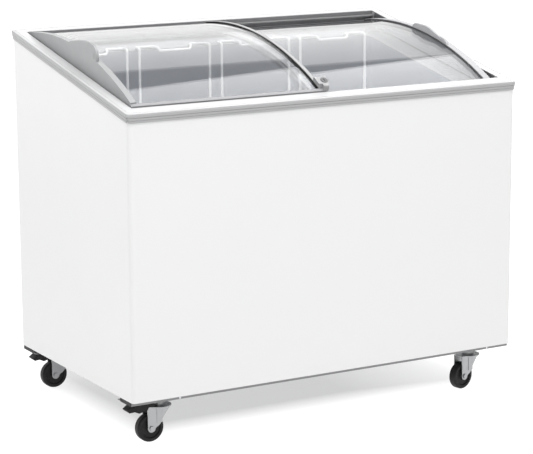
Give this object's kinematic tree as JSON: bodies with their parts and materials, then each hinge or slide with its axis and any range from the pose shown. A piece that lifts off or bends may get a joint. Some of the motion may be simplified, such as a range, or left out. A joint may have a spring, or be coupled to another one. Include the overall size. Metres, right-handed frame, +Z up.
{
  "type": "chest freezer",
  "caption": "White chest freezer with a sloping top, two curved glass lids that slide over each other, hanging wire baskets and swivel castors.",
  "frame": {"origin": "on the floor under the middle of the freezer", "axes": "+X along the front to the right, +Y from the front to the back, +Z up"},
  "size_m": [1.046, 0.628, 0.8941],
  "materials": {
    "white_sheet": "smooth gloss",
    "white_frame": "satin",
    "dark_track": "satin",
    "pale_plastic": "satin",
    "lid_grey": "satin",
    "dark_seal": "matt",
    "clear_glass": "polished",
    "liner_sheet": "stucco embossed",
    "foam": "matt",
    "copper_pipe": "satin",
    "zinc_steel": "satin",
    "bright_steel": "polished",
    "white_wire": "smooth gloss",
    "black_paint": "satin",
    "black_plastic": "matt",
    "black_rubber": "matt",
    "grey_rail": "satin"
  },
  "bodies": {
    "cabinet": {"frame_front": "white_frame", "frame_rear": "white_frame", "frame_left": "white_frame", "frame_right": "white_frame", "lid_tracks": "dark_track", "side_trims": "dark_track", "liner_collar": "pale_plastic", "cabinet_wrap": "white_sheet", "back_panel": "zinc_steel", "bottom_panel": "zinc_steel", "inner_liner": "liner_sheet", "insulation": "foam", "evaporator_tube": "copper_pipe", "condenser_tube": "copper_pipe", "compressor": "black_paint", "compressor_grommets": "black_rubber", "relay_box": "black_plastic", "pipework": "copper_pipe", "rear_grille": "white_sheet", "thermostat": "black_plastic", "cable_gland": "black_plastic", "panel_screws": "bright_steel", "base_rails": "grey_rail", "rail_plugs": "black_plastic", "castor_plates": "zinc_steel", "castor_bolts": "zinc_steel"},
    "left_lid": {"left_lid_glass": "clear_glass", "left_lid_end_panel": "lid_grey", "left_lid_glides": "lid_grey", "left_lid_outer_rim": "lid_grey", "left_lid_inner_rim": "lid_grey", "left_lid_seals": "dark_seal", "lock_housing": "white_frame"},
    "right_lid": {"right_lid_glass": "clear_glass", "right_lid_end_panel": "lid_grey", "right_lid_glides": "lid_grey", "right_lid_outer_rim": "lid_grey", "right_lid_inner_rim": "lid_grey", "right_lid_seals": "dark_seal"},
    "lock_cylinder": {"lock_barrel": "bright_steel"},
    "bolt": {"lock_bolt": "zinc_steel"},
    "knob": {"thermostat_knob": "black_plastic"},
    "basket_1": {"basket_1": "white_wire"},
    "basket_2": {"basket_2": "white_wire"},
    "basket_3": {"basket_3": "white_wire"},
    "basket_4": {"basket_4": "white_wire"},
    "castor_front_left": {"fork_front_left": "zinc_steel", "axle_front_left": "bright_steel"},
    "wheel_front_left": {"wheel_front_left": "black_rubber"},
    "pedal_front_left": {"pedal_front_left": "black_plastic"},
    "castor_rear_left": {"fork_rear_left": "zinc_steel", "axle_rear_left": "bright_steel"},
    "wheel_rear_left": {"wheel_rear_left": "black_rubber"},
    "pedal_rear_left": {"pedal_rear_left": "black_plastic"},
    "castor_front_right": {"fork_front_right": "zinc_steel", "axle_front_right": "bright_steel"},
    "wheel_front_right": {"wheel_front_right": "black_rubber"},
    "castor_rear_right": {"fork_rear_right": "zinc_steel", "axle_rear_right": "bright_steel"},
    "wheel_rear_right": {"wheel_rear_right": "black_rubber"}
  },
  "joints": [
    {"name": "left_lid_slide", "type": "slide", "parent": "cabinet", "child": "left_lid", "axis": [1, 0, 0], "range_m": [0, 0.45]},
    {"name": "right_lid_slide", "type": "slide", "parent": "cabinet", "child": "right_lid", "axis": [1, 0, 0], "range_m": [-0.45, 0]},
    {"name": "lock_turn", "type": "hinge", "parent": "left_lid", "child": "lock_cylinder", "pos_m": [0.0105, -0.26041, 0.79313], "axis": [0, -0.4959, 0.8684], "range_deg": [-90, 0]},
    {"name": "bolt_drop", "type": "slide", "parent": "left_lid", "child": "bolt", "axis": [0, 0.2033, -0.9791], "range_m": [0, 0.0031]},
    {"name": "thermostat_turn", "type": "hinge", "parent": "cabinet", "child": "knob", "pos_m": [0.321, 0.3, 0.332], "axis": [0, 1, 0], "range_deg": [0, 280]},
    {"name": "basket_1_lift", "type": "slide", "parent": "cabinet", "child": "basket_1", "axis": [0, 0, 1], "range_m": [0, 0.006]},
    {"name": "basket_2_lift", "type": "slide", "parent": "cabinet", "child": "basket_2", "axis": [0, 0, 1], "range_m": [0, 0.006]},
    {"name": "basket_3_lift", "type": "slide", "parent": "cabinet", "child": "basket_3", "axis": [0, 0, 1], "range_m": [0, 0.006]},
    {"name": "basket_4_lift", "type": "slide", "parent": "cabinet", "child": "basket_4", "axis": [0, 0, 1], "range_m": [0, 0.006]},
    {"name": "castor_swivel_front_left", "type": "hinge", "parent": "cabinet", "child": "castor_front_left", "pos_m": [-0.429, -0.258, 0.09], "axis": [0, 0, 1], "continuous": true},
    {"name": "wheel_spin_front_left", "type": "hinge", "parent": "castor_front_left", "child": "wheel_front_left", "pos_m": [-0.454, -0.258, 0.033], "axis": [0, 1, 0], "continuous": true},
    {"name": "brake_front_left", "type": "hinge", "parent": "castor_front_left", "child": "pedal_front_left", "pos_m": [-0.451, -0.258, 0.087], "axis": [0, 1, 0], "range_deg": [-8, 0]},
    {"name": "castor_swivel_rear_left", "type": "hinge", "parent": "cabinet", "child": "castor_rear_left", "pos_m": [-0.429, 0.269, 0.09], "axis": [0, 0, 1], "continuous": true},
    {"name": "wheel_spin_rear_left", "type": "hinge", "parent": "castor_rear_left", "child": "wheel_rear_left", "pos_m": [-0.454, 0.269, 0.033], "axis": [0, 1, 0], "continuous": true},
    {"name": "brake_rear_left", "type": "hinge", "parent": "castor_rear_left", "child": "pedal_rear_left", "pos_m": [-0.451, 0.269, 0.087], "axis": [0, 1, 0], "range_deg": [-8, 0]},
    {"name": "castor_swivel_front_right", "type": "hinge", "parent": "cabinet", "child": "castor_front_right", "pos_m": [0.429, -0.258, 0.09], "axis": [0, 0, 1], "continuous": true},
    {"name": "wheel_spin_front_right", "type": "hinge", "parent": "castor_front_right", "child": "wheel_front_right", "pos_m": [0.40464, -0.26362, 0.033], "axis": [-0.225, 0.9744, 0], "continuous": true},
    {"name": "castor_swivel_rear_right", "type": "hinge", "parent": "cabinet", "child": "castor_rear_right", "pos_m": [0.429, 0.269, 0.09], "axis": [0, 0, 1], "continuous": true},
    {"name": "wheel_spin_rear_right", "type": "hinge", "parent": "castor_rear_right", "child": "wheel_rear_right", "pos_m": [0.404, 0.269, 0.033], "axis": [0, 1, 0], "continuous": true}
  ],
  "couplings": [
    {"joint": "bolt_drop", "follows": "lock_turn", "m_per_rad": -0.0019099}
  ]
}
